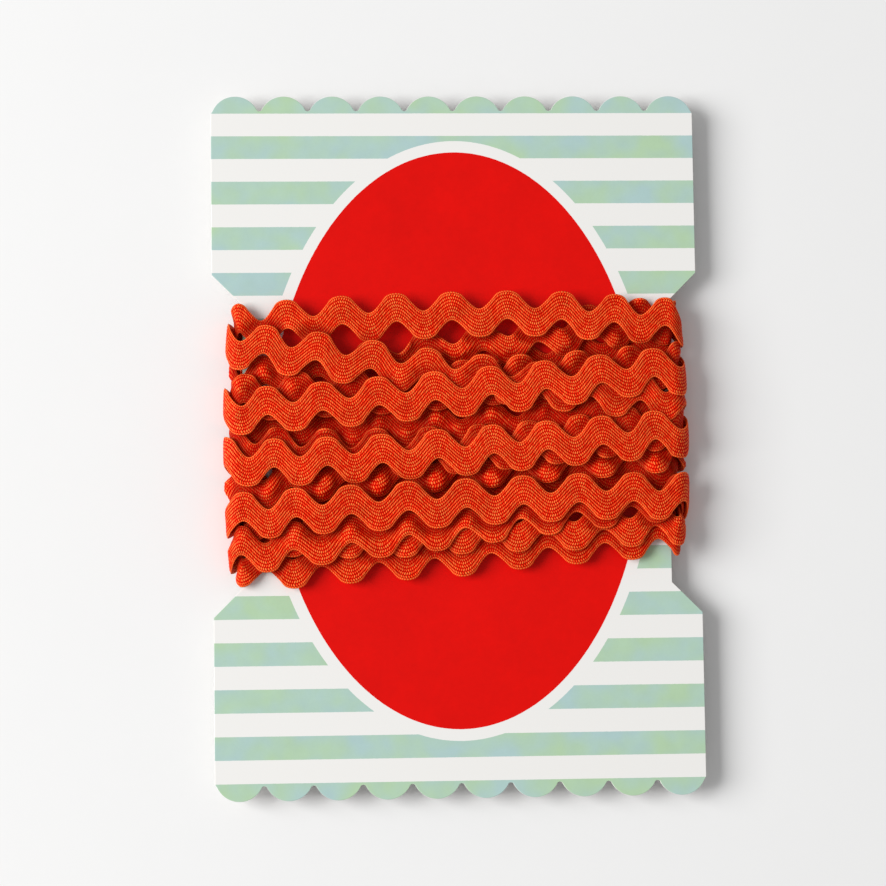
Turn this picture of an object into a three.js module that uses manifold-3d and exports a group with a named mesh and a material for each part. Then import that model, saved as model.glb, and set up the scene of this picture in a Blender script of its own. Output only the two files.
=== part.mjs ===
// Ric rac braid wound round the waist of a notched card, lying flat.
// Millimetres, +Z up. The card's long side runs along Y, the braid is wound
// along X, and the flat underside of the winding is at z = 0.
import * as THREE from 'three';
import { mergeVertices } from 'three/addons/utils/BufferGeometryUtils.js';
import Module from 'manifold-3d';

const wasm = await Module();
wasm.setup();

// The card blank, with its straight side notches.
const CARD_WIDTH = 82.3;
const CARD_THICKNESS = 0.7;
const SCALLOP_COUNT = 10;
const SCALLOP_ROOT = 57.1; // from the middle of the card to the scallops' roots
const SCALLOP_RISE = 2.4;
const SCALLOP_STEPS = 6;
const NOTCH_DEPTH = 5.1;
const NOTCH_MOUTH = 57.8; // height of a notch at the card's edge
const NOTCH_FLOOR = 47.6; // height of its straight floor

// The braid: a flat zigzag band.
const BRAID_WIDTH = 8; // over the crests
const WAVE_RISE = 1.7; // crest height above the band's middle line
const STEPS_PER_WAVE = 6;

// The winding: an inner sleeve of buried turns, and the turns that show,
// lying one to three braids deep.
const CLEARANCE = 0.35; // between the card and the innermost turns
const SLEEVE_REACH = 1.2; // outside of the buried turns, from the card
const LIFTS = { low: 1.8, middle: 2.4, high: 3.0 }; // outside of a turn, from the card
const SLEEVE_INSET = 1.6; // from the edge of the outer passes' middle lines
const WAVES_PER_RUN = 7.5; // on the straight run across the card's front
const WAVES_PER_TURN = 16;
const END_STEPS = 2; // from a corner of the card to the middle of its edge

const WAIST_HALF = CARD_WIDTH / 2 - NOTCH_DEPTH;
const CARD_MIDDLE_Z = LIFTS.high + CARD_THICKNESS / 2;

// The passes over the front, from the first wound to the last. Heights are
// those of the band's middle line at the left edge, the middle and the right
// edge. Crest is how far right of the middle a crest lies, in waves.
const PASSES = [
  { left: -20.3, middle: -18.3, right: -15.1, crest: 0.6, lift: 'low' },
  { left: -17.6, middle: -13.5, right: -9.4, crest: 0.1, lift: 'middle' },
  { left: -7.1, middle: -3.8, right: -0.4, crest: 0.1, lift: 'low' },
  { left: 7.0, middle: 10.5, right: 13.6, crest: 0.1, lift: 'low' },
  { left: 20.0, middle: 21.6, right: 20.6, crest: 0.9, lift: 'low' },
  { left: 17.1, middle: 11.8, right: 7.0, crest: 0.5, lift: 'middle' },
  { left: 5.9, middle: 8.8, right: 12.6, crest: 0.5, lift: 'high' },
  { left: -3.4, middle: -1.8, right: 1.4, crest: 0.6, lift: 'high' },
  { left: -12.7, middle: -10.4, right: -9.3, crest: 0.1, lift: 'high' },
];
const LOWEST_PASS = PASSES[0];
const HIGHEST_PASS = PASSES[4];

// A closed mesh as a solid, and a solid back as a geometry.
function solidOf(geometry) {
  const bare = geometry.clone();
  bare.deleteAttribute('normal');
  bare.deleteAttribute('uv');
  const merged = mergeVertices(bare, 1e-4);
  return new wasm.Manifold(new wasm.Mesh({
    numProp: 3,
    vertProperties: new Float32Array(merged.attributes.position.array),
    triVerts: new Uint32Array(merged.index.array),
  }));
}

function geometryOf(solid) {
  const mesh = solid.getMesh();
  const geometry = new THREE.BufferGeometry();
  geometry.setAttribute('position', new THREE.BufferAttribute(mesh.vertProperties, 3));
  geometry.setIndex(new THREE.BufferAttribute(mesh.triVerts, 1));
  geometry.computeVertexNormals();
  return geometry;
}

// One row of scallops, as points on arcs, from x = from to x = -from.
function addScallops(outline, from, root, rise) {
  const pitch = -2 * from / SCALLOP_COUNT;
  const radius = (pitch * pitch / 4 + rise * rise) / (2 * Math.abs(rise));
  const centre = root + rise - Math.sign(rise) * radius;
  const spread = Math.asin(Math.abs(pitch) / 2 / radius);
  for (let bump = 0; bump < SCALLOP_COUNT; bump++) {
    const middle = from + pitch * (bump + 0.5);
    for (let step = 0; step < SCALLOP_STEPS; step++) {
      const angle = spread * (2 * step / SCALLOP_STEPS - 1);
      outline.push(new THREE.Vector2(
        middle + Math.sign(pitch) * radius * Math.sin(angle),
        centre + Math.sign(rise) * radius * Math.cos(angle)));
    }
  }
}

// One long edge with its notch, going up on the right and down on the left.
function addNotchedEdge(outline, side) {
  const edge = side * CARD_WIDTH / 2;
  const floor = side * WAIST_HALF;
  const mouth = NOTCH_MOUTH / 2;
  const heights = [-SCALLOP_ROOT, -mouth, -NOTCH_FLOOR / 2, NOTCH_FLOOR / 2, mouth];
  for (const height of heights) {
    const onFloor = Math.abs(height) === NOTCH_FLOOR / 2;
    outline.push(new THREE.Vector2(onFloor ? floor : edge, side * height));
  }
}

function makeCard() {
  const outline = [];
  addNotchedEdge(outline, 1);
  addScallops(outline, CARD_WIDTH / 2, SCALLOP_ROOT, SCALLOP_RISE);
  addNotchedEdge(outline, -1);
  addScallops(outline, -CARD_WIDTH / 2, -SCALLOP_ROOT, -SCALLOP_RISE);
  const geometry = new THREE.ExtrudeGeometry(new THREE.Shape(outline), {
    depth: CARD_THICKNESS, bevelEnabled: false,
  });
  const material = new THREE.MeshStandardMaterial({ color: 0xeeece8, roughness: 0.7, metalness: 0 });
  const card = new THREE.Mesh(geometry, material);
  card.name = 'notched_card';
  card.position.z = CARD_MIDDLE_Z - CARD_THICKNESS / 2;
  return card;
}

// Half a turn runs from the middle of the left edge over the front to the
// middle of the right edge, or on round the back. Its stations are the steps
// on the straight run, with END_STEPS more round each edge of the card.
const RUN_STEPS = WAVES_PER_RUN * STEPS_PER_WAVE;
const HALF_TURN_STEPS = RUN_STEPS + 2 * END_STEPS;
const FRONT_WAVES = HALF_TURN_STEPS / STEPS_PER_WAVE;

function station(index) {
  const run = index - END_STEPS;
  const along = THREE.MathUtils.clamp(run / RUN_STEPS, 0, 1);
  const beyond = run < 0 ? run : Math.max(0, run - RUN_STEPS);
  const turned = beyond / END_STEPS * Math.PI / 2;
  const atEdge = Math.abs(beyond) === END_STEPS;
  return {
    foot: new THREE.Vector2((2 * along - 1) * WAIST_HALF, atEdge ? 0 : CARD_THICKNESS / 2),
    out: new THREE.Vector2(Math.sin(turned), Math.cos(turned)),
    along,
  };
}

// A bow through three heights, at the left edge, the middle and the right.
function bow(left, middle, right, along) {
  const t = 2 * along - 1;
  return middle + t * (right - left) / 2 + t * t * ((left + right) / 2 - middle);
}

// A box bent round one face of the card. edges(along) gives the low and high
// edge of the band and its reach from the card; behind flips it to the back.
function halfTurn(edges, behind) {
  const geometry = new THREE.BoxGeometry(HALF_TURN_STEPS, 1, 1, HALF_TURN_STEPS, 1, 1);
  const position = geometry.attributes.position;
  const side = behind ? -1 : 1;
  for (let i = 0; i < position.count; i++) {
    const index = Math.round(position.getX(i) + HALF_TURN_STEPS / 2);
    const { foot, out, along } = station(index);
    const { low, high, reach } = edges(along, index);
    const distance = position.getZ(i) > 0 ? reach : CLEARANCE;
    position.setXYZ(i,
      side * (foot.x + out.x * distance),
      position.getY(i) > 0 ? high : low,
      CARD_MIDDLE_Z + side * (foot.y + out.y * distance));
  }
  return solidOf(geometry);
}

// The zigzag band from one edge of the card to the other. A change of reach
// is made on the way round the first edge.
function bandEdges(heights, firstWave, lastWave, firstReach, lastReach) {
  const half = BRAID_WIDTH / 2 - WAVE_RISE;
  return (along, index) => {
    const progress = index / HALF_TURN_STEPS;
    const wave = THREE.MathUtils.lerp(firstWave, lastWave, progress);
    const middle = bow(heights.left, heights.middle, heights.right, along)
      + WAVE_RISE * Math.cos(2 * Math.PI * wave);
    const reach = THREE.MathUtils.lerp(firstReach, lastReach, Math.min(1, index / END_STEPS));
    return { low: middle - half, high: middle + half, reach };
  };
}

// Each pass goes over the front and then round the back to where the next
// one starts, so that its wave and its reach run on without a break.
function makeTurns() {
  const turns = [];
  PASSES.forEach((pass, index) => {
    const reach = LIFTS[pass.lift];
    const leftWave = -FRONT_WAVES / 2 - pass.crest;
    const rightWave = leftWave + FRONT_WAVES;
    turns.push(halfTurn(bandEdges(pass, leftWave, rightWave, reach, reach), false));
    const next = PASSES[index + 1];
    if (!next) return;
    const nextWave = leftWave + pass.crest - next.crest + WAVES_PER_TURN;
    const back = { left: pass.right, middle: (pass.right + next.left) / 2, right: next.left };
    turns.push(halfTurn(bandEdges(back, rightWave, nextWave, reach, LIFTS[next.lift]), true));
  });
  return turns;
}

// The buried turns, as a plain band within the lowest and the highest pass.
function makeSleeve() {
  const height = (pass, along) => bow(pass.left, pass.middle, pass.right, along);
  const sleeveEdges = (along) => ({
    low: height(LOWEST_PASS, along) + SLEEVE_INSET,
    high: height(HIGHEST_PASS, along) - SLEEVE_INSET,
    reach: SLEEVE_REACH,
  });
  return [
    halfTurn(sleeveEdges, false),
    halfTurn((along) => sleeveEdges(1 - along), true),
  ];
}

function makeWinding() {
  const solids = [...makeTurns(), ...makeSleeve()];
  const solid = solids.reduce((sum, next) => sum.add(next));
  const material = new THREE.MeshStandardMaterial({ color: 0xd23a14, roughness: 0.55, metalness: 0 });
  const winding = new THREE.Mesh(geometryOf(solid), material);
  winding.name = 'ric_rac_winding';
  return winding;
}

const roll = new THREE.Group();
roll.name = 'ric_rac_on_card';
roll.add(makeCard());
roll.add(makeWinding());

export default roll;
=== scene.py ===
# %% [markdown]
# A notched card wound with ric rac, dressed for a render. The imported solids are
# the fixed frame: they say where the card lies and how far the winding reaches.
# Everything below is in metres, with lengths of the real thing written in
# millimetres and scaled once.

# %% Load the frame
import math
from collections import namedtuple

import bpy
import numpy as np
from mathutils import Matrix, Vector


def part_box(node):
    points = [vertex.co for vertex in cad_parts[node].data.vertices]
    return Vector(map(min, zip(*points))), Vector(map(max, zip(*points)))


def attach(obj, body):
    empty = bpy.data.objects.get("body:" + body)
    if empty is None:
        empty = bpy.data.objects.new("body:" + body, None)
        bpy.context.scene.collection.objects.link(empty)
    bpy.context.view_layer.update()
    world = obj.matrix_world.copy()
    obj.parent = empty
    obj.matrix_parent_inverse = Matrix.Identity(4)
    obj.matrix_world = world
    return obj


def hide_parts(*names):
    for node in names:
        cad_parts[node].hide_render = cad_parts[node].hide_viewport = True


MM = 0.001
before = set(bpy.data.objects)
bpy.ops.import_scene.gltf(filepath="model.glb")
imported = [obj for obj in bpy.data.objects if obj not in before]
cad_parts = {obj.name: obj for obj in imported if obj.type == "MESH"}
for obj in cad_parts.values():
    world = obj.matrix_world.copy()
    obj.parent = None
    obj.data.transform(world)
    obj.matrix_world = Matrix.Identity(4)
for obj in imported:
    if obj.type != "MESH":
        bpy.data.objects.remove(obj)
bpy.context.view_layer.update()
card_low, card_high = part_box("notched_card")
wound_low, wound_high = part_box("ric_rac_winding")
print("card in mm", [round(v / MM, 2) for v in card_high - card_low])
print("winding in mm", [round(v / MM, 2) for v in wound_high - wound_low])

# %% [markdown]
# The camera hangs over the card and looks almost straight down, a little from
# the left and from below, which is why the lower end looks slightly larger.
# The angles come from the card's four corners in the photograph.

# %% Camera
AIM = Vector((-2.4, 0.1, 3.7)) * MM
CAMERA_DISTANCE = 450 * MM
CAMERA_TILT = math.radians(4.87)
CAMERA_SWING = math.radians(-3.38)
CAMERA_ROLL = math.radians(-0.5)
LENS = 108.3
SENSOR_WIDTH = 36

turned = (Matrix.Rotation(CAMERA_TILT, 4, "X") @ Matrix.Rotation(CAMERA_SWING, 4, "Y")
          @ Matrix.Rotation(CAMERA_ROLL, 4, "Z"))
camera_data = bpy.data.cameras.new("camera")
camera_data.lens = LENS
camera_data.sensor_width = SENSOR_WIDTH
camera_data.clip_start = 0.01
camera = bpy.data.objects.new("camera", camera_data)
camera.matrix_world = Matrix.Translation(AIM) @ turned @ Matrix.Translation((0, 0, CAMERA_DISTANCE))
bpy.context.collection.objects.link(camera)
bpy.context.scene.camera = camera
print("camera at", [round(v, 3) for v in camera.matrix_world.translation])

# %% [markdown]
# Four small helpers are used all the way down: one turns arrays into a mesh
# object at the origin, one adds a shader or geometry node and sets its values,
# one adds a math node fed by numbers or sockets, and one starts a material.

# %% Helpers
def mesh_object(name, points, faces):
    mesh = bpy.data.meshes.new(name)
    mesh.from_pydata([tuple(p) for p in points], [], [tuple(f) for f in faces])
    mesh.update()
    obj = bpy.data.objects.new(name, mesh)
    bpy.context.collection.objects.link(obj)
    return obj


def add_node(tree, kind, values=None, **settings):
    node = tree.nodes.new(kind)
    for key, value in settings.items():
        setattr(node, key, value)
    for key, value in (values or {}).items():
        node.inputs[key].default_value = value
    return node


def math_node(tree, operation, first, second=None, third=None):
    node = add_node(tree, "ShaderNodeMath", operation=operation)
    for slot, value in enumerate((first, second, third)):
        if value is None:
            continue
        if isinstance(value, (int, float)):
            node.inputs[slot].default_value = value
        else:
            tree.links.new(value, node.inputs[slot])
    return node.outputs[0]


def new_material(name):
    material = bpy.data.materials.new(name)
    material.use_nodes = True
    tree = material.node_tree
    tree.nodes.clear()
    shader = add_node(tree, "ShaderNodeBsdfPrincipled")
    output = add_node(tree, "ShaderNodeOutputMaterial")
    tree.links.new(shader.outputs[0], output.inputs["Surface"])
    return material, tree, shader


print("helpers ready for a camera with a lens of", LENS, "mm")

# %% [markdown]
# Paper and cloth both carry a faint cloudiness: ink takes unevenly, and thread
# is dyed unevenly. One shader group makes it from two sizes of noise. Each
# material gives it a pair of numbers: how small the clouds are, as the scale of
# the wider noise, and how strong.

# %% Shared group for cloudy colour
FINE_TIMES = 7.0
FINE_SHARE = 0.45


def make_cloud_group():
    group = bpy.data.node_groups.new("cloudy colour", "ShaderNodeTree")
    for name, kind in (("Vector", "NodeSocketVector"), ("Scale", "NodeSocketFloat"),
                       ("Strength", "NodeSocketFloat"), ("Color", "NodeSocketColor")):
        group.interface.new_socket(name=name, in_out="INPUT", socket_type=kind)
    group.interface.new_socket(name="Color", in_out="OUTPUT", socket_type="NodeSocketColor")
    group.interface.new_socket(name="Mask", in_out="OUTPUT", socket_type="NodeSocketFloat")
    source = add_node(group, "NodeGroupInput")
    result = add_node(group, "NodeGroupOutput")
    wide = add_node(group, "ShaderNodeTexNoise", {"Detail": 4.0, "Roughness": 0.6})
    fine = add_node(group, "ShaderNodeTexNoise", {"Detail": 2.0, "Roughness": 0.7})
    fine_scale = math_node(group, "MULTIPLY", source.outputs["Scale"], FINE_TIMES)
    group.links.new(source.outputs["Vector"], wide.inputs["Vector"])
    group.links.new(source.outputs["Vector"], fine.inputs["Vector"])
    group.links.new(source.outputs["Scale"], wide.inputs["Scale"])
    group.links.new(fine_scale, fine.inputs["Scale"])
    mixed = math_node(group, "MULTIPLY_ADD", fine.outputs[0], FINE_SHARE, -FINE_SHARE / 2)
    mask = math_node(group, "ADD", wide.outputs[0], mixed)
    centred = math_node(group, "SUBTRACT", mask, 0.5)
    swing = math_node(group, "MULTIPLY_ADD", centred, source.outputs["Strength"], 1.0)
    shade = add_node(group, "ShaderNodeVectorMath", operation="SCALE")
    group.links.new(source.outputs["Color"], shade.inputs[0])
    group.links.new(swing, shade.inputs["Scale"])
    group.links.new(shade.outputs[0], result.inputs["Color"])
    group.links.new(mask, result.inputs["Mask"])
    return group


def cloudy(tree, vector, colour, scale, strength):
    node = add_node(tree, "ShaderNodeGroup", node_tree=CLOUDS)
    node.inputs["Scale"].default_value = scale
    node.inputs["Strength"].default_value = strength
    tree.links.new(vector, node.inputs["Vector"])
    if isinstance(colour, tuple):
        node.inputs["Color"].default_value = (*colour, 1)
    else:
        tree.links.new(colour, node.inputs["Color"])
    return node.outputs["Color"], node.outputs["Mask"]


CLOUDS = make_cloud_group()
print("shared group:", CLOUDS.name)

# %% [markdown]
# The card is die-cut from thin board, so its edge is a crisp cut with only a
# trace of rounding. Its outline follows the solid's own sizes: ten scallops at
# each end and a straight-floored notch in each side. Here it is drawn with more
# points on each scallop than the solid has, with the small blunt valleys that
# the cutting die leaves between them, and with the outer scallops running on
# down to the card's long edges.

# %% Card outline
CARD_WIDTH = (card_high.x - card_low.x) / MM
CARD_THICKNESS = (card_high.z - card_low.z) / MM
CARD_MIDDLE_Z = (card_high.z + card_low.z) / 2 / MM
SCALLOP_COUNT = 10
SCALLOP_RISE = 2.4
SCALLOP_ROOT = card_high.y / MM - SCALLOP_RISE
SCALLOP_STEPS = 22
VALLEY_WIDTH = 0.75
VALLEY_DIP = 0.15
CORNER_DROP = 0.6
NOTCH_DEPTH = 5.1
NOTCH_MOUTH = 57.8
NOTCH_FLOOR = 47.6
WAIST_HALF = CARD_WIDTH / 2 - NOTCH_DEPTH


def scallop_row(from_x, root, rise):
    pitch = -2 * from_x / SCALLOP_COUNT
    chord = abs(pitch) - VALLEY_WIDTH
    radius = (chord * chord / 4 + rise * rise) / (2 * abs(rise))
    spread = math.asin(chord / 2 / radius)
    points = [(from_x, root - math.copysign(CORNER_DROP, rise))]
    for bump in range(SCALLOP_COUNT):
        middle = from_x + pitch * (bump + 0.5)
        for step in range(SCALLOP_STEPS + 1):
            angle = spread * (2 * step / SCALLOP_STEPS - 1)
            across = math.copysign(radius * math.sin(angle), pitch * angle)
            up = math.copysign(radius * (math.cos(angle) - 1), -rise)
            points.append((middle + across, root + rise + up))
        if bump < SCALLOP_COUNT - 1:
            points.append((middle + pitch / 2, root - math.copysign(VALLEY_DIP, rise)))
    return points


def notched_side(side):
    edge = side * CARD_WIDTH / 2
    floor_x = side * WAIST_HALF
    steps = [(edge, CORNER_DROP - SCALLOP_ROOT), (edge, -NOTCH_MOUTH / 2),
             (floor_x, -NOTCH_FLOOR / 2), (floor_x, NOTCH_FLOOR / 2), (edge, NOTCH_MOUTH / 2)]
    return [(x, side * y) for x, y in steps]


card_outline = (notched_side(1) + scallop_row(CARD_WIDTH / 2, SCALLOP_ROOT, SCALLOP_RISE)
                + notched_side(-1) + scallop_row(-CARD_WIDTH / 2, -SCALLOP_ROOT, -SCALLOP_RISE))
print("points on the card's outline:", len(card_outline))

# %% [markdown]
# The outline becomes a closed board of the solid's own thickness. A bevel of a
# few hundredths of a millimetre rounds the cut, just enough to catch the light,
# and the bevelled result is kept as a plain mesh.

# %% Card mesh
CARD_BEVEL = 0.07


def make_card():
    count = len(card_outline)
    top = CARD_MIDDLE_Z + CARD_THICKNESS / 2
    bottom = CARD_MIDDLE_Z - CARD_THICKNESS / 2
    points = [(x * MM, y * MM, z * MM) for z in (top, bottom) for x, y in card_outline]
    faces = [tuple(range(count)), tuple(range(2 * count - 1, count - 1, -1))]
    faces += [(i, count + i, count + (i + 1) % count, (i + 1) % count) for i in range(count)]
    obj = mesh_object("card", points, faces)
    bevel = obj.modifiers.new("cut edge", "BEVEL")
    bevel.width = CARD_BEVEL * MM
    bevel.segments = 2
    bevel.limit_method = "ANGLE"
    bevel.angle_limit = math.radians(60)
    flat = bpy.data.meshes.new_from_object(obj.evaluated_get(bpy.context.evaluated_depsgraph_get()))
    obj.modifiers.clear()
    obj.data = flat
    return obj


card = make_card()
print("card faces:", len(card.data.polygons))

# %% [markdown]
# The front is printed: level stripes of sage on white, sage at both scalloped
# ends, and a plain red oval with a white rim over them. The print is worked out
# from Object coordinates, so it stays put on the card. The stripes are a floor
# and a modulo, and the oval is the length of a scaled vector. Ink edges waver
# by a few hundredths of a millimetre, and the sage drifts between a warmer and
# a cooler green in soft patches, as it does in the photo.

# %% Printed front
BOARD_WHITE = (0.845, 0.835, 0.815)
SAGE_WARM = (0.44, 0.62, 0.41)
SAGE_COOL = (0.415, 0.585, 0.575)
RED_INK = (0.73, 0.002, 0.0003)
STRIPE_TOP = 56.55
STRIPE_WIDTH = 3.9
OVAL_CENTRE = (0.1, 0.9)
OVAL_HALF = (31.5, 48.9)
OVAL_RIM = 1.95
INK_WAVER = 0.03
WAVER_SCALE = 2.2
PATCH_SCALE = 0.13
GRAIN_SCALE = 6.0
SAGE_CLOUDS = (0.35, 0.12)
RED_CLOUDS = (0.12, 0.25)


def inside_oval(tree, point, grow):
    shifted = add_node(tree, "ShaderNodeVectorMath", operation="SUBTRACT")
    shifted.inputs[1].default_value = (*OVAL_CENTRE, 0)
    scaled = add_node(tree, "ShaderNodeVectorMath", operation="DIVIDE")
    scaled.inputs[1].default_value = (OVAL_HALF[0] + grow, OVAL_HALF[1] + grow, 1e9)
    length = add_node(tree, "ShaderNodeVectorMath", operation="LENGTH")
    tree.links.new(point, shifted.inputs[0])
    tree.links.new(shifted.outputs[0], scaled.inputs[0])
    tree.links.new(scaled.outputs[0], length.inputs[0])
    return math_node(tree, "LESS_THAN", length.outputs["Value"], 1.0)


def mix_colour(tree, mask, first, second):
    node = add_node(tree, "ShaderNodeMix", data_type="RGBA")
    tree.links.new(mask, node.inputs["Factor"])
    for name, colour in (("A", first), ("B", second)):
        socket = [s for s in node.inputs if s.name == name and s.type == "RGBA"][0]
        if isinstance(colour, tuple):
            socket.default_value = (*colour, 1)
        else:
            tree.links.new(colour, socket)
    return [s for s in node.outputs if s.type == "RGBA"][0]


def millimetres(tree):
    place = add_node(tree, "ShaderNodeTexCoord")
    scaled = add_node(tree, "ShaderNodeVectorMath", {"Scale": 1 / MM}, operation="SCALE")
    tree.links.new(place.outputs["Object"], scaled.inputs[0])
    return scaled.outputs[0]


def make_print():
    material, tree, shader = new_material("printed card")
    point = millimetres(tree)
    wobble = add_node(tree, "ShaderNodeTexNoise", {"Scale": WAVER_SCALE, "Detail": 1.0})
    tree.links.new(point, wobble.inputs["Vector"])
    nudge = add_node(tree, "ShaderNodeVectorMath",
                     {1: (2 * INK_WAVER,) * 3, 2: (-INK_WAVER,) * 3}, operation="MULTIPLY_ADD")
    tree.links.new(wobble.outputs["Color"], nudge.inputs[0])
    inked = add_node(tree, "ShaderNodeVectorMath", operation="ADD")
    tree.links.new(point, inked.inputs[0])
    tree.links.new(nudge.outputs[0], inked.inputs[1])
    height = add_node(tree, "ShaderNodeSeparateXYZ")
    tree.links.new(inked.outputs[0], height.inputs[0])
    from_top = math_node(tree, "SUBTRACT", STRIPE_TOP, height.outputs["Y"])
    band = math_node(tree, "FLOOR", math_node(tree, "DIVIDE", from_top, STRIPE_WIDTH))
    sage_mask = math_node(tree, "FLOORED_MODULO", band, 2.0)
    patch = add_node(tree, "ShaderNodeTexNoise", {"Scale": PATCH_SCALE, "Detail": 2.0})
    tree.links.new(point, patch.inputs["Vector"])
    cool = math_node(tree, "MULTIPLY_ADD", patch.outputs[0], 3.0, -1.0)
    tinted = mix_colour(tree, cool, SAGE_WARM, SAGE_COOL)
    sage, _ = cloudy(tree, point, tinted, *SAGE_CLOUDS)
    red, _ = cloudy(tree, point, RED_INK, *RED_CLOUDS)
    striped = mix_colour(tree, sage_mask, BOARD_WHITE, sage)
    rimmed = mix_colour(tree, inside_oval(tree, inked.outputs[0], OVAL_RIM), striped, BOARD_WHITE)
    printed = mix_colour(tree, inside_oval(tree, inked.outputs[0], 0.0), rimmed, red)
    tree.links.new(printed, shader.inputs["Base Color"])
    shader.inputs["Roughness"].default_value = 0.5
    shader.inputs["Specular IOR Level"].default_value = 0.12
    grain = add_node(tree, "ShaderNodeTexNoise", {"Scale": GRAIN_SCALE, "Detail": 3.0})
    bump = add_node(tree, "ShaderNodeBump", {"Strength": 0.12, "Distance": 0.02 * MM})
    tree.links.new(point, grain.inputs["Vector"])
    tree.links.new(grain.outputs[0], bump.inputs["Height"])
    tree.links.new(bump.outputs[0], shader.inputs["Normal"])
    return material


print_material = make_print()
print("nodes in the print:", len(print_material.node_tree.nodes))

# %% [markdown]
# The back and the cut edge are bare board: a slightly grey white with pulp
# flecks and a rougher face than the coated front.

# %% Bare board and its faces
BOARD_BACK = (0.74, 0.72, 0.68)
BOARD_CLOUDS = (1.1, 0.12)


def make_board():
    material, tree, shader = new_material("bare board")
    point = millimetres(tree)
    colour, mask = cloudy(tree, point, BOARD_BACK, *BOARD_CLOUDS)
    tree.links.new(colour, shader.inputs["Base Color"])
    shader.inputs["Roughness"].default_value = 0.85
    shader.inputs["Specular IOR Level"].default_value = 0.2
    bump = add_node(tree, "ShaderNodeBump", {"Strength": 0.25, "Distance": 0.03 * MM})
    tree.links.new(mask, bump.inputs["Height"])
    tree.links.new(bump.outputs[0], shader.inputs["Normal"])
    return material


card.data.materials.append(print_material)
card.data.materials.append(make_board())
for face in card.data.polygons:
    face.material_index = 0 if face.normal.z > 0.9 else 1
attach(card, "root")
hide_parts("notched_card")
print("printed faces:", sum(face.material_index == 0 for face in card.data.polygons))

# %% [markdown]
# The ric rac is one long band, wound round and round the card's waist. Its
# path is easiest to think of unrolled: u runs round the card along the band,
# from the left edge over the front, round the right edge and back behind, and
# y runs up the card. A third number, the reach, is the distance from the card.
# One function rolls (u, y, reach) back into space.

# %% Round the card and back
REACH_MIDDLE = 2.5
RUN = 2 * WAIST_HALF
END = math.pi * (REACH_MIDDLE + CARD_THICKNESS / 4)
TURN = 2 * (RUN + END)
HALF_THICKNESS = CARD_THICKNESS / 2


def roll_up(u, y, reach):
    u = np.mod(u, TURN)
    behind = u >= RUN + END
    side = np.where(behind, -1.0, 1.0)
    local = np.where(behind, u - RUN - END, u)
    angle = np.clip((local - RUN) / END, 0, 1) * math.pi
    x = side * (np.minimum(local, RUN) - WAIST_HALF + reach * np.sin(angle))
    z = CARD_MIDDLE_Z + side * (HALF_THICKNESS + reach) * np.cos(angle)
    return np.stack([x, y, z], axis=-1)


print("one turn in mm:", round(TURN, 1))

# %% [markdown]
# The passes that show on the front were read off the photograph: the height of
# the band's middle at the left edge, the middle and the right edge, where one
# crest lies, the pitch of the zigzag, and how far it is lifted off the pile.
# They are listed from the first wound to the last, so later ones lie on top.
# The first three are buried. Behind the card each pass runs on to where the
# next one starts. Close to the card's edges the waves are drawn together a
# little, and the last of the braid ends behind the card.

# %% The passes
Pass = namedtuple("Pass", "left middle right crest pitch lift")
PASSES = [
    Pass(-15.0, -12.0, -7.5, 6.2, 9.4, 0.0),
    Pass(-9.0, -6.0, -4.7, 2.6, 9.3, 0.0),
    Pass(3.2, 11.4, 17.4, 1.6, 9.5, 0.0),
    Pass(-20.3, -18.3, -15.1, -4.1, 9.6, 0.3),
    Pass(-14.5, -14.9, -13.5, -4.2, 9.5, 0.0),
    Pass(-17.6, -13.5, -9.4, 0.8, 9.55, 0.0),
    Pass(-7.1, -3.8, -1.2, 0.5, 9.6, 0.0),
    Pass(3.0, 3.0, 6.5, -3.7, 9.3, 0.0),
    Pass(-0.9, -1.4, 2.5, -4.9, 8.6, 0.0),
    Pass(10.2, 16.0, 20.7, 4.1, 9.25, 0.6),
    Pass(7.9, 9.8, 13.1, 1.3, 9.5, 0.2),
    Pass(20.0, 21.6, 20.6, -0.7, 9.3, 1.3),
    Pass(16.4, 11.4, 7.0, 4.0, 9.2, 0.4),
    Pass(5.7, 8.2, 12.0, -4.0, 9.5, 0.3),
    Pass(-3.4, -1.8, 1.4, -3.5, 9.35, 0.3),
    Pass(-12.2, -10.4, -9.3, 1.2, 9.6, 0.2),
]
PITCH = 9.45
STATION = PITCH / 24
TAIL = 30.0
END_PULL = 1.1
PULL_POWER = 7
LIFT_PLATEAU = 1.6
ROUTE_EASE = 2.5


def bow(low, middle, high, along):
    t = 2 * along - 1
    return middle + t * (high - low) / 2 + t * t * ((low + high) / 2 - middle)


def smooth(values, width):
    reach = int(3 * width / STATION)
    kernel = np.exp(-0.5 * (np.arange(-reach, reach + 1) * STATION / width) ** 2)
    padded = np.pad(values, reach, mode="reflect", reflect_type="odd")
    return np.convolve(padded, kernel / kernel.sum(), mode="valid")


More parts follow.
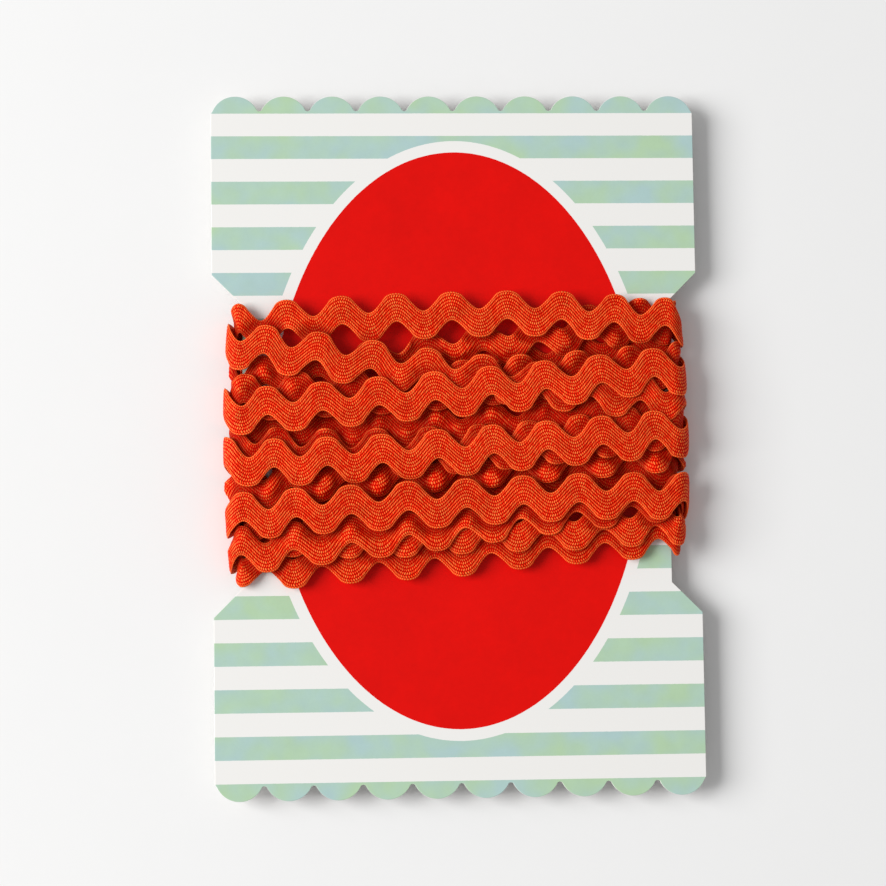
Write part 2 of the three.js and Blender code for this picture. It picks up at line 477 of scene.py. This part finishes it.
def route():
    length = TURN * (len(PASSES) - 1) + RUN + END + TAIL
    u = np.arange(0, length, STATION)
    y = np.zeros_like(u)
    wave = np.zeros_like(u)
    behind_length = TURN - RUN
    waves_done = 0.0
    lift = np.zeros_like(u)
    for index, now in enumerate(PASSES):
        local = u - index * TURN
        front = (local >= 0) & (local <= RUN)
        y[front] = bow(now.left, now.middle, now.right, local[front] / RUN)
        lift[front] = now.lift * np.minimum(1, LIFT_PLATEAU * np.sin(math.pi * local[front] / RUN))
        start = waves_done - (-WAIST_HALF - END_PULL - now.crest) / now.pitch
        pull = END_PULL * (2 * local[front] / RUN - 1) ** PULL_POWER
        wave[front] = start + (local[front] - WAIST_HALF + pull - now.crest) / now.pitch
        leaves = start + (WAIST_HALF + END_PULL - now.crest) / now.pitch
        later = PASSES[index + 1] if index + 1 < len(PASSES) else now
        enters = (-WAIST_HALF - END_PULL - later.crest) / later.pitch
        waves = behind_length / PITCH
        arrives = enters + round(leaves + waves - enters)
        behind = (local > RUN) & (local < TURN)
        along = (local[behind] - RUN) / behind_length
        y[behind] = now.right + (later.left - now.right) * along
        wave[behind] = leaves + (arrives - leaves) * along
        waves_done = arrives
    return (u, *(smooth(values, ROUTE_EASE) for values in (y, wave, lift)))


route_u, route_y, route_wave, route_lift = route()
print("stations:", len(route_u), "braid wound in m:", round(route_u[-1] / 1000, 2))

# %% [markdown]
# Seen flat, the band follows a wave, but its edges aren't copies of it: the
# crests are broad and the hollows under them narrow. Threads are moved straight
# up or down from the middle line, and on the outer side of each bend partly
# square to the wave, which gives that shape. The band is a little fuller on its
# slopes. Slow noise in height, pitch and rise keeps the turns from being alike;
# each is a spacing, an amount and an easing length.

# %% The zigzag band, unrolled
WAVE_RISE = 1.6
HALF_BAND = 2.48
SQUARENESS = 0.26
SLOPE_FULLNESS = 0.12
WANDER = (14, 0.35, 4)
JITTER = (12, 0.035, 4)
SWELL = (8, 0.09, 3)
RIBS = 8
SELVEDGE = 0.055
BRAID_SEED = 11


def slow_noise(length, kind, seed):
    spacing, amount, ease = kind
    rng = np.random.default_rng(seed)
    knots = rng.uniform(-amount, amount, int(length * STATION / spacing) + 4)
    noise = np.interp(np.arange(length) * STATION / spacing, np.arange(len(knots)), knots)
    return smooth(noise, ease)


def band_sheet(v):
    count = len(route_u)
    wander = slow_noise(count, WANDER, BRAID_SEED)
    jitter = slow_noise(count, JITTER, BRAID_SEED + 1)
    swell = 1 + slow_noise(count, SWELL, BRAID_SEED + 2)
    angle = 2 * np.pi * (route_wave + jitter)
    slope = np.gradient(route_y + wander, route_u)
    length = np.hypot(1, slope)
    up_u, up_y = -slope / length, 1 / length
    rise = WAVE_RISE * swell * np.cos(angle)
    middle_u = route_u + up_u * rise
    middle_y = route_y + wander + up_y * rise
    run_u, run_y = np.gradient(middle_u), np.gradient(middle_y)
    run = np.hypot(run_u, run_y)
    outer = SQUARENESS * np.clip(np.cos(angle)[:, None] * v[None, :], 0, 1)
    lean_u = (1 - outer) * up_u[:, None] - outer * (run_y / run)[:, None]
    lean_y = (1 - outer) * up_y[:, None] + outer * (run_u / run)[:, None]
    fuller = 1 + SLOPE_FULLNESS * np.sin(angle) ** 2
    offset = HALF_BAND * fuller[:, None] * v[None, :] / np.hypot(lean_u, lean_y)
    travelled = np.concatenate([[0], np.cumsum(run)[:-1]])
    return (middle_u[:, None] + lean_u * offset, middle_y[:, None] + lean_y * offset,
            travelled, np.abs(np.cos(angle)))


rib_edges = np.linspace(SELVEDGE, 1 - SELVEDGE, 2 * RIBS + 1)
top_v = 2 * np.concatenate([[0, SELVEDGE / 2], rib_edges, [1 - SELVEDGE / 2, 1]]) - 1
sheet_u, sheet_y, travelled, bend = band_sheet(top_v)
print("points across:", len(top_v), "length along the wave in m:", round(travelled[-1] / 1000, 2))

# %% [markdown]
# Each turn lies on the ones wound before it. A height map of the winding is
# kept, unrolled like the band, and the braid is laid on it a stretch at a time.
# The map is spread and blurred first, because a woven band is too stiff to
# follow every step beneath it. The band is wound tight, so it also bridges the
# dips between turns, and a few passes are lifted to ride as high as they do in
# the photo. Then the stretch's own top is written into the map. A stretch
# doesn't see the one just before it, so it can't ride up on its own end.

# %% Lay the turns on each other
CELL = 0.4
MAP_HALF = 30.0
BAND_THICKNESS = 0.85
STIFF_CELLS = 2
STRETCH = 100
BRIDGE = 50
EASE = 6
TENSION = 0.85
CARD_GAP = 0.05
END_MARGIN = 1
map_columns = int(round(TURN / CELL))
map_rows = int(2 * MAP_HALF / CELL)


def shifted(grid, step, axis):
    if axis == 0:
        return np.roll(grid, step, axis=0)
    padded = np.pad(grid, ((0, 0), (abs(step), abs(step))), mode="edge")
    start = abs(step) - step
    return padded[:, start:start + grid.shape[1]]


def spread(grid, cells):
    for axis in (0, 1):
        grid = np.max([shifted(grid, step, axis) for step in range(-cells, cells + 1)], axis=0)
    return grid


def blur(grid, cells):
    for axis in (0, 1):
        grid = np.mean([shifted(grid, step, axis) for step in range(-cells, cells + 1)], axis=0)
    return grid


def bare_card():
    u = (np.arange(map_columns) + 0.5) * TURN / map_columns
    y = (np.arange(map_rows) + 0.5) * CELL - MAP_HALF
    at_end = (np.mod(u, RUN + END) > RUN - END_MARGIN)[:, None]
    beyond = np.maximum(0, np.abs(y) - NOTCH_FLOOR / 2)[None, :]
    return np.where(at_end, beyond, 0.0) + CARD_GAP


def cells_of(u, y):
    column = np.floor(np.mod(u, TURN) / TURN * map_columns).astype(int) % map_columns
    row = np.clip(((y + MAP_HALF) / CELL).astype(int), 0, map_rows - 1)
    return column, row


def sample(grid, u, y):
    column = np.mod(u, TURN) / TURN * map_columns - 0.5
    row = np.clip((y + MAP_HALF) / CELL - 0.5, 0, map_rows - 1.001)
    left, low = np.floor(column).astype(int), np.floor(row).astype(int)
    a, b = column - left, row - low
    left, right = left % map_columns, (left + 1) % map_columns
    return ((1 - a) * ((1 - b) * grid[left, low] + b * grid[left, low + 1])
            + a * ((1 - b) * grid[right, low] + b * grid[right, low + 1]))


def window(values, reach, pick):
    padded = np.pad(values, reach, mode="edge")
    views = [padded[step:step + len(values)] for step in range(2 * reach + 1)]
    return pick(np.array(views), axis=0)


def taut(bed_under):
    bridged = window(window(bed_under.max(axis=1), BRIDGE, np.max), BRIDGE, np.min)
    return window(window(bridged, EASE, np.mean), EASE, np.mean)


def write_top(surface, rows, under):
    target = cells_of(sheet_u[rows], sheet_y[rows])
    np.maximum.at(surface, target, under[rows] + BAND_THICKNESS)


def lay_turns():
    surface = bare_card()
    under = np.zeros_like(sheet_u)
    waiting = []
    margin = BRIDGE + 2 * EASE
    for start in range(0, len(route_u), STRETCH):
        rows = slice(start, start + STRETCH)
        first = max(0, start - margin)
        wide = slice(first, start + STRETCH + margin)
        bed = blur(spread(surface, STIFF_CELLS), STIFF_CELLS)
        drape = sample(bed, sheet_u[wide], sheet_y[wide])
        lifted = drape + TENSION * np.maximum(0, taut(drape)[:, None] - drape)
        lifted += route_lift[wide, None]
        under[rows] = lifted[start - first:start - first + STRETCH]
        waiting.append(rows)
        if len(waiting) > 1:
            write_top(surface, waiting.pop(0), under)
    for done in waiting:
        write_top(surface, done, under)
    return under, surface


under, surface = lay_turns()
print("deepest pile in mm:", round(float(surface.max()), 2))

# %% [markdown]
# Tension presses a deep pile flat. Where the pile is deeper than the solid's
# reach, every turn in it is thinned by the same share, so the order stays and
# the turns cut into each other only in a few small spots. The limit swells over
# the front and a little round the card's edges, and falls away like an ellipse
# toward the lowest and the highest turns. Behind the card it leaves the flat on
# which the roll rests.

# %% Press the pile
REST_GAP = 0.02
REACH_BEHIND = (card_low.z - wound_low.z) / MM - REST_GAP
FRONT_SWELL = 1.0
FRONT_EASE = 1 / 6
EDGE_SWELL = 0.45
PILE_HALF = 31.0


def press():
    pile = blur(spread(surface, STIFF_CELLS), STIFF_CELLS)
    depth = sample(pile, sheet_u, sheet_y)
    along_front = np.mod(sheet_u, TURN) / RUN
    bulge = np.clip(np.minimum(along_front, 1 - along_front) / FRONT_EASE, 0, 1)
    limit = REACH_BEHIND + FRONT_SWELL * bulge
    round_edge = np.clip((np.mod(sheet_u, RUN + END) - RUN) / END, 0, 1)
    limit += EDGE_SWELL * np.sin(math.pi * round_edge)
    limit *= np.sqrt(1 - (sheet_y / PILE_HALF) ** 2)
    return np.minimum(1.0, limit / depth)


squeeze = press()
middle_reach = (under + BAND_THICKNESS / 2) * squeeze
sheet_points = roll_up(sheet_u, sheet_y, middle_reach)
sheet_normals = np.cross(np.gradient(sheet_points, axis=0), np.gradient(sheet_points, axis=1))
sheet_normals /= np.linalg.norm(sheet_normals, axis=-1, keepdims=True)
print("reach in mm:", round(float(middle_reach.min()), 2), "to", round(float(middle_reach.max()), 2))

# %% [markdown]
# Threads down in the pile get little light but what has already bounced off
# other threads, so they look darker and a purer red. That shade is painted into
# the thread's colour: the height map tells how far each point lies below the
# turns around it, and that becomes a mask from 0 to 1 which the material uses
# to darken the thread toward a deep red.

# %% How deep each point lies
SHADE_CELLS = 2
SHADE_BLUR = 1
SHADE_DEPTH = 1.5


def depth_mask():
    around = blur(spread(surface, SHADE_CELLS), SHADE_BLUR)
    below = sample(around, sheet_u, sheet_y) - (under + BAND_THICKNESS)
    return np.clip(below / SHADE_DEPTH, 0, 1)


buried = depth_mask()
print("points deep in the pile:", f"{float((buried > 0.5).mean()):.0%}")

# %% [markdown]
# The laid band has no thickness yet: it is a flat tube, its face and its back
# on the same sheet. A Geometry Nodes tree gives it body. Every point knows how
# far across the band it is, on which side, and which way is out, so the tree
# can push the face up into ribs with a groove between each two, round the
# selvedges, and push the back down. The grooves are shallower at the bends,
# where the threads crowd. Rib count, depth and thickness are inputs.

# %% Geometry Nodes: body and ribs
RIB_DEPTH = 0.12
BEND_EASE = 0.5
FLANK_POWER = 6.0
EDGE_SLACK = 0.001


def tree_input(tree, name, kind):
    return tree.interface.new_socket(name=name, in_out="INPUT", socket_type=kind).identifier


def attribute(tree, name, kind="FLOAT"):
    node = add_node(tree, "GeometryNodeInputNamedAttribute", {"Name": name}, data_type=kind)
    return node.outputs["Attribute"]


def make_braid_tree():
    tree = bpy.data.node_groups.new("braid body", "GeometryNodeTree")
    sockets = {"Geometry": tree_input(tree, "Geometry", "NodeSocketGeometry")}
    for name in ("Thickness", "Rib Count", "Rib Depth", "Selvedge"):
        sockets[name] = tree_input(tree, name, "NodeSocketFloat")
    sockets["Material"] = tree_input(tree, "Material", "NodeSocketMaterial")
    tree.interface.new_socket(name="Geometry", in_out="OUTPUT", socket_type="NodeSocketGeometry")
    given = add_node(tree, "NodeGroupInput")
    across = attribute(tree, "across")
    share = math_node(tree, "MULTIPLY_ADD", across, 0.5, 0.5)
    flank = math_node(tree, "POWER", math_node(tree, "ABSOLUTE", across), FLANK_POWER)
    rounding = math_node(tree, "SQRT", math_node(tree, "SUBTRACT", 1.0, flank))
    half = math_node(tree, "MULTIPLY", given.outputs["Thickness"], 0.5)
    body = math_node(tree, "MULTIPLY", rounding, half)
    inner = math_node(tree, "MULTIPLY_ADD", given.outputs["Selvedge"], -2.0, 1.0)
    from_edge = math_node(tree, "SUBTRACT", share, given.outputs["Selvedge"])
    place = math_node(tree, "DIVIDE", from_edge, inner)
    rib = math_node(tree, "MULTIPLY", place, given.outputs["Rib Count"])
    swing = math_node(tree, "SINE", math_node(tree, "MULTIPLY", rib, math.pi))
    wave = math_node(tree, "ABSOLUTE", swing)
    above_low = math_node(tree, "GREATER_THAN", place, -EDGE_SLACK)
    below_high = math_node(tree, "LESS_THAN", place, 1 + EDGE_SLACK)
    ribbed = math_node(tree, "MULTIPLY", above_low, below_high)
    groove = math_node(tree, "MULTIPLY", math_node(tree, "SUBTRACT", 1.0, wave), ribbed)
    fade = math_node(tree, "MULTIPLY_ADD", attribute(tree, "bend"), -BEND_EASE, 1.0)
    depth = math_node(tree, "MULTIPLY", fade, given.outputs["Rib Depth"])
    sunk = math_node(tree, "MULTIPLY", groove, depth)
    face = math_node(tree, "SUBTRACT", body, sunk)
    is_face = math_node(tree, "GREATER_THAN", attribute(tree, "side"), 0.0)
    back = math_node(tree, "MULTIPLY", body, -1.0)
    lift = math_node(tree, "MULTIPLY", is_face, math_node(tree, "SUBTRACT", face, back))
    height = math_node(tree, "MULTIPLY", math_node(tree, "ADD", lift, back), attribute(tree, "squeeze"))
    push = add_node(tree, "ShaderNodeVectorMath", operation="SCALE")
    tree.links.new(attribute(tree, "out", "FLOAT_VECTOR"), push.inputs[0])
    tree.links.new(height, push.inputs["Scale"])
    move = add_node(tree, "GeometryNodeSetPosition")
    smooth_faces = add_node(tree, "GeometryNodeSetShadeSmooth")
    realize = add_node(tree, "GeometryNodeRealizeInstances")
    finish = add_node(tree, "GeometryNodeSetMaterial")
    result = add_node(tree, "NodeGroupOutput")
    tree.links.new(given.outputs["Geometry"], move.inputs["Geometry"])
    tree.links.new(push.outputs[0], move.inputs["Offset"])
    tree.links.new(move.outputs[0], smooth_faces.inputs["Geometry"])
    tree.links.new(smooth_faces.outputs[0], realize.inputs[0])
    tree.links.new(realize.outputs[0], finish.inputs["Geometry"])
    tree.links.new(given.outputs["Material"], finish.inputs["Material"])
    tree.links.new(finish.outputs[0], result.inputs[0])
    return tree, sockets


braid_tree, braid_sockets = make_braid_tree()
print("nodes in the braid's tree:", len(braid_tree.nodes))

# %% [markdown]
# The braid's surface is plaited thread. Along each rib it shows as a row of
# small slanting beads, leaning one way in one rib and the other way in the next,
# some fuller than others, and each selvedge is a smoother cord. On the slopes
# the ribs stand out most, and at the bends the beads do. The pattern is counted
# in the braid's own UV map, whose first number is millimetres along the braid
# and whose second runs across it, so the beads fan out round each crest as the
# real threads do. Its height gives the colour, the bump and a thin soft coat on
# the crowns of the beads, which is the thread's slight shine. The colour is one
# red thread with painted shade and painted highlight on it: dark red in the
# grooves between the beads, orange-red on the bead crowns.

# %% Braid material
BEAD = 0.36
THREAD_LEAN = 0.4
# Painted shade colour for the grooves, the thread's own red, and a painted highlight colour for the
# bead crowns.
THREAD_GROOVE_SHADE = (0.24, 0.0001, 0.0001)
THREAD_BODY = (1.0, 0.01, 0.0003)
THREAD_CROWN_HIGHLIGHT = (1.0, 0.25, 0.05)
GROOVE_SHADE_STOP = 0.05
BODY_STOP = 0.58
CROWN_HIGHLIGHT_STOP = 0.93
BEAD_UNEVENNESS = 0.4
BEAD_LEAST = 0.75
BEND_POWER = 1.5
BEND_MOST = 0.85
CORD_SWING = 0.4
CORD_LEAST = 0.5
# Painted shade colour and strength for threads that lie deep in the pile.
THREAD_PILE_SHADE = (0.38, 0.0005, 0.0001)
PILE_SHADE_MOST = 0.68
THREAD_CLOUDS = (0.3, 0.7)
THREAD_BUMP = 0.12
SHINE = {"From Min": 0.5, "From Max": 0.95, "To Max": 0.12}
SHINE_TINT = (1.0, 0.5, 0.28)


def plait_height(tree, uv, bend):
    split = add_node(tree, "ShaderNodeSeparateXYZ")
    tree.links.new(uv, split.inputs[0])
    from_edge = math_node(tree, "SUBTRACT", split.outputs["Y"], SELVEDGE)
    rib = math_node(tree, "MULTIPLY", from_edge, RIBS / (1 - 2 * SELVEDGE))
    row = math_node(tree, "FLOOR", rib)
    within = math_node(tree, "SUBTRACT", rib, row)
    parity = math_node(tree, "FLOORED_MODULO", row, 2.0)
    round_rib = math_node(tree, "SINE", math_node(tree, "MULTIPLY", within, math.pi))
    along = math_node(tree, "DIVIDE", split.outputs["X"], BEAD)
    lean = math_node(tree, "MULTIPLY_ADD", parity, -2 * THREAD_LEAN, THREAD_LEAN)
    slanted = math_node(tree, "MULTIPLY_ADD", within, lean, along)
    which = add_node(tree, "ShaderNodeCombineXYZ")
    tree.links.new(math_node(tree, "FLOOR", slanted), which.inputs["X"])
    tree.links.new(row, which.inputs["Y"])
    chance = add_node(tree, "ShaderNodeTexWhiteNoise", noise_dimensions="2D")
    tree.links.new(which.outputs[0], chance.inputs["Vector"])
    uneven = math_node(tree, "MULTIPLY_ADD", chance.outputs["Value"], BEAD_UNEVENNESS, BEAD_LEAST)
    swing = math_node(tree, "SINE", math_node(tree, "MULTIPLY", slanted, math.pi))
    bead = math_node(tree, "ABSOLUTE", swing)
    on_slope = math_node(tree, "MULTIPLY", round_rib, math_node(tree, "MULTIPLY_ADD", bead, 0.5, 0.5))
    at_bend = math_node(tree, "MULTIPLY", bead, math_node(tree, "MULTIPLY_ADD", round_rib, 0.5, 0.5))
    turning = math_node(tree, "MULTIPLY", math_node(tree, "POWER", bend, BEND_POWER), BEND_MOST)
    difference = math_node(tree, "SUBTRACT", at_bend, on_slope)
    even = math_node(tree, "MULTIPLY_ADD", difference, turning, on_slope)
    beaded = math_node(tree, "MULTIPLY", even, uneven)
    off_low = math_node(tree, "LESS_THAN", rib, 0.0)
    off_high = math_node(tree, "GREATER_THAN", rib, float(RIBS))
    selvedge = math_node(tree, "ADD", off_low, off_high)
    cord = math_node(tree, "MULTIPLY_ADD", bead, CORD_SWING, CORD_LEAST)
    keep = math_node(tree, "MULTIPLY", beaded, math_node(tree, "SUBTRACT", 1.0, selvedge))
    return math_node(tree, "MULTIPLY_ADD", cord, selvedge, keep)


def make_braid_material():
    material, tree, shader = new_material("ric rac thread")
    uv = add_node(tree, "ShaderNodeUVMap", uv_map="braid").outputs[0]
    bend_node = add_node(tree, "ShaderNodeAttribute", attribute_name="bend")
    height = plait_height(tree, uv, bend_node.outputs["Fac"])
    # Painted shade and highlight: the ramp darkens the low points of the plait and lightens its crowns.
    ramp = add_node(tree, "ShaderNodeValToRGB")
    ramp.color_ramp.elements[0].position = GROOVE_SHADE_STOP
    ramp.color_ramp.elements[0].color = (*THREAD_GROOVE_SHADE, 1)
    ramp.color_ramp.elements[1].position = CROWN_HIGHLIGHT_STOP
    ramp.color_ramp.elements[1].color = (*THREAD_CROWN_HIGHLIGHT, 1)
    body = ramp.color_ramp.elements.new(BODY_STOP)
    body.color = (*THREAD_BODY, 1)
    tree.links.new(height, ramp.inputs[0])
    # Painted shade: points deep in the pile are darkened toward a deep red.
    buried_node = add_node(tree, "ShaderNodeAttribute", attribute_name="buried")
    painted_pile_shade = math_node(tree, "MULTIPLY", buried_node.outputs["Fac"], PILE_SHADE_MOST)
    shaded = mix_colour(tree, painted_pile_shade, ramp.outputs[0], THREAD_PILE_SHADE)
    colour, _ = cloudy(tree, millimetres(tree), shaded, *THREAD_CLOUDS)
    tree.links.new(colour, shader.inputs["Base Color"])
    shader.inputs["Roughness"].default_value = 0.5
    shine = add_node(tree, "ShaderNodeMapRange", SHINE)
    tree.links.new(height, shine.inputs["Value"])
    tree.links.new(shine.outputs[0], shader.inputs["Coat Weight"])
    shader.inputs["Coat Roughness"].default_value = 0.55
    shader.inputs["Coat IOR"].default_value = 1.6
    shader.inputs["Specular IOR Level"].default_value = 0.05
    shader.inputs["Specular Tint"].default_value = (*SHINE_TINT, 1)
    bump = add_node(tree, "ShaderNodeBump", {"Strength": 1.0, "Distance": THREAD_BUMP * MM})
    tree.links.new(height, bump.inputs["Height"])
    tree.links.new(bump.outputs[0], shader.inputs["Normal"])
    return material


braid_material = make_braid_material()
print("made", braid_material.name)

# %% [markdown]
# The length of braid is split into three pieces, to keep each mesh light. Both
# seams lie behind the card, where parts of them show as a faint line. Each piece
# gets its flat tube, the attributes that the tree reads, and its UV map. The
# tree is run once and its result kept as a plain mesh. The caps at the seams are shaded flat, so
# that they don't darken the threads beside them.

# %% Make the braid
SPLIT_TURNS = (5, 10)
UNDER_COLUMNS = 6
under_v = np.linspace(1, -1, UNDER_COLUMNS + 2)[1:-1]
ring_v = np.concatenate([top_v, under_v])
ring_side = np.concatenate([np.ones(len(top_v)), -np.ones(len(under_v))])


def across_band(values):
    columns = np.interp(ring_v, top_v, np.arange(len(top_v)))
    low = np.minimum(columns.astype(int), len(top_v) - 2)
    share = columns - low
    if values.ndim == 3:
        share = share[:, None]
    return values[:, low] * (1 - share) + values[:, low + 1] * share


def put_attribute(mesh, name, values, kind="FLOAT"):
    item = mesh.attributes.new(name, kind, "POINT")
    item.data.foreach_set("vector" if kind == "FLOAT_VECTOR" else "value", values.ravel())


def make_braid(name, first, last):
    rows = slice(first, last + 1)
    points = across_band(sheet_points[rows])
    count, around = points.shape[:2]
    i, j = np.meshgrid(np.arange(count - 1), np.arange(around), indexing="ij")
    after = (j + 1) % around
    quads = np.stack([i * around + j, (i + 1) * around + j,
                      (i + 1) * around + after, i * around + after], axis=-1).reshape(-1, 4)
    caps = [tuple(range(around)), tuple(range(count * around - 1, (count - 1) * around - 1, -1))]
    obj = mesh_object(name, points.reshape(-1, 3) * MM, [*quads.tolist(), *caps])
    mesh = obj.data
    put_attribute(mesh, "across", np.broadcast_to(ring_v, (count, around)))
    put_attribute(mesh, "side", np.broadcast_to(ring_side, (count, around)))
    put_attribute(mesh, "squeeze", across_band(squeeze[rows]))
    put_attribute(mesh, "bend", np.broadcast_to(bend[rows, None], (count, around)))
    put_attribute(mesh, "buried", across_band(buried[rows]))
    put_attribute(mesh, "out", across_band(sheet_normals[rows]), "FLOAT_VECTOR")
    at_point = np.empty((count, around, 2))
    at_point[..., 0] = travelled[rows, None]
    at_point[..., 1] = (ring_v + 1) / 2
    corner = np.empty(len(mesh.loops), dtype=np.int32)
    mesh.loops.foreach_get("vertex_index", corner)
    uv_map = mesh.uv_layers.new(name="braid")
    uv_map.data.foreach_set("uv", at_point.reshape(-1, 2)[corner].ravel())
    body = obj.modifiers.new("braid body", "NODES")
    body.node_group = braid_tree
    sizes = {"Thickness": BAND_THICKNESS * MM, "Rib Count": float(RIBS),
             "Rib Depth": RIB_DEPTH * MM, "Selvedge": SELVEDGE, "Material": braid_material}
    for key, value in sizes.items():
        body[braid_sockets[key]] = value
    result = bpy.data.meshes.new_from_object(obj.evaluated_get(bpy.context.evaluated_depsgraph_get()))
    for cap in result.polygons[-2:]:
        cap.use_smooth = False
    obj.modifiers.clear()
    obj.data = result
    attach(obj, "root")
    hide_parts("ric_rac_winding")
    return obj


cuts = [int((turn * TURN + RUN + END + RUN / 2) / STATION) for turn in SPLIT_TURNS]
cuts = [0, *cuts, len(route_u) - 1]
for part in range(len(SPLIT_TURNS) + 1):
    piece = make_braid(f"braid_part_{part + 1}", cuts[part], cuts[part + 1])
    low = min(v.co.z for v in piece.data.vertices)
    print(piece.name, "faces:", len(piece.data.polygons), "lowest mm:", round(low / MM, 3))

# %% [markdown]
# The floor is plain and pale. One large soft light stands well out to the left
# and fairly low, so the roll's shadow falls to its right and each turn shades
# the one beside it, and a bright surround fills the shadows.

# %% Floor and light
FLOOR_HALF = 0.9
FLOOR_GREY = (0.86, 0.86, 0.86)
FLOOR_CLOUDS = (0.02, 0.02)
LIGHT_PLACE = Vector((-1.38, 0.12, 0.95))
LIGHT_SIZE = 1.05
LIGHT_POWER = 35.4
LIGHT_TINT = (1.0, 0.997, 0.99)
SURROUND = 0.39


def make_floor():
    material, tree, shader = new_material("pale floor")
    colour, _ = cloudy(tree, millimetres(tree), FLOOR_GREY, *FLOOR_CLOUDS)
    tree.links.new(colour, shader.inputs["Base Color"])
    shader.inputs["Roughness"].default_value = 0.9
    h = FLOOR_HALF
    obj = mesh_object("floor", [(-h, -h, 0), (h, -h, 0), (h, h, 0), (-h, h, 0)], [(0, 1, 2, 3)])
    obj.data.materials.append(material)
    return obj


make_floor()
lamp_data = bpy.data.lights.new("key light", "AREA")
lamp_data.energy = LIGHT_POWER
lamp_data.size = LIGHT_SIZE
lamp_data.color = LIGHT_TINT
lamp = bpy.data.objects.new("key light", lamp_data)
lamp.location = LIGHT_PLACE
lamp.rotation_euler = (AIM - LIGHT_PLACE).to_track_quat("-Z", "Y").to_euler()
bpy.context.collection.objects.link(lamp)
world = bpy.data.worlds.new("surround")
world.use_nodes = True
world.node_tree.nodes["Background"].inputs["Color"].default_value = (1, 1, 1, 1)
world.node_tree.nodes["Background"].inputs["Strength"].default_value = SURROUND
bpy.context.scene.world = world
bpy.context.scene.view_settings.view_transform = "Standard"
print("lit from", [round(v, 2) for v in LIGHT_PLACE])
